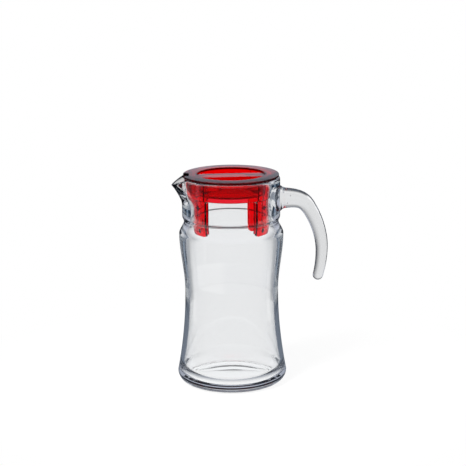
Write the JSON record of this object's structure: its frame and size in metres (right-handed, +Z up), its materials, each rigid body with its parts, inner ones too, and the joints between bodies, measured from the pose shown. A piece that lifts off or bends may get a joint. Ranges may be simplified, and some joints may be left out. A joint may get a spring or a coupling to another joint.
{
  "type": "jug with lid",
  "caption": "Waisted clear glass jug with a thick collar, pulled spout and open hook handle, and a see-through red lid with a grip bar between finger wells and sprung legs.",
  "frame": {"origin": "centre of the flat base, on the vessel's axis", "axes": "+Z up along the vessel's axis, -X towards the spout, +X towards the handle"},
  "size_m": [0.1568, 0.1094, 0.2116],
  "materials": {
    "clear_glass": "smooth, fire polished",
    "red_plastic": "glossy, see-through"
  },
  "bodies": {
    "jug": {"glass_body": "clear_glass", "glass_handle": "clear_glass"},
    "lid_cage": {"lid_skirt_ring": "red_plastic"},
    "lid_cover": {"lid_cover_plate": "red_plastic", "lid_grip_cup": "red_plastic"},
    "leg_front_left": {"lid_leg_front_left": "red_plastic"},
    "leg_front_right": {"lid_leg_front_right": "red_plastic"},
    "leg_back_left": {"lid_leg_back_left": "red_plastic"},
    "leg_back_right": {"lid_leg_back_right": "red_plastic"}
  },
  "joints": [
    {"name": "lid_lift", "type": "slide", "parent": "jug", "child": "lid_cage", "axis": [0, 0, 1], "range_m": [0, 0.075]},
    {"name": "lid_turn", "type": "hinge", "parent": "lid_cage", "child": "lid_cover", "pos_m": [0, 0, 0.2093], "axis": [0, 0, 1], "continuous": true},
    {"name": "leg_front_right_flex", "type": "hinge", "parent": "lid_cage", "child": "leg_front_right", "pos_m": [0.02801, -0.01998, 0.1897], "axis": [0.5807, 0.8141, 0], "range_deg": [0, 3], "stiffness_Nm_per_rad": 1},
    {"name": "leg_back_right_flex", "type": "hinge", "parent": "lid_cage", "child": "leg_back_right", "pos_m": [0.02835, 0.01948, 0.1897], "axis": [-0.5664, 0.8241, 0], "range_deg": [0, 3], "stiffness_Nm_per_rad": 1},
    {"name": "leg_back_left_flex", "type": "hinge", "parent": "lid_cage", "child": "leg_back_left", "pos_m": [-0.03051, 0.01588, 0.1897], "axis": [-0.4617, -0.887, 0], "range_deg": [0, 3], "stiffness_Nm_per_rad": 1},
    {"name": "leg_front_left_flex", "type": "hinge", "parent": "lid_cage", "child": "leg_front_left", "pos_m": [-0.03079, -0.01535, 0.1897], "axis": [0.4462, -0.8949, 0], "range_deg": [0, 3], "stiffness_Nm_per_rad": 1}
  ]
}
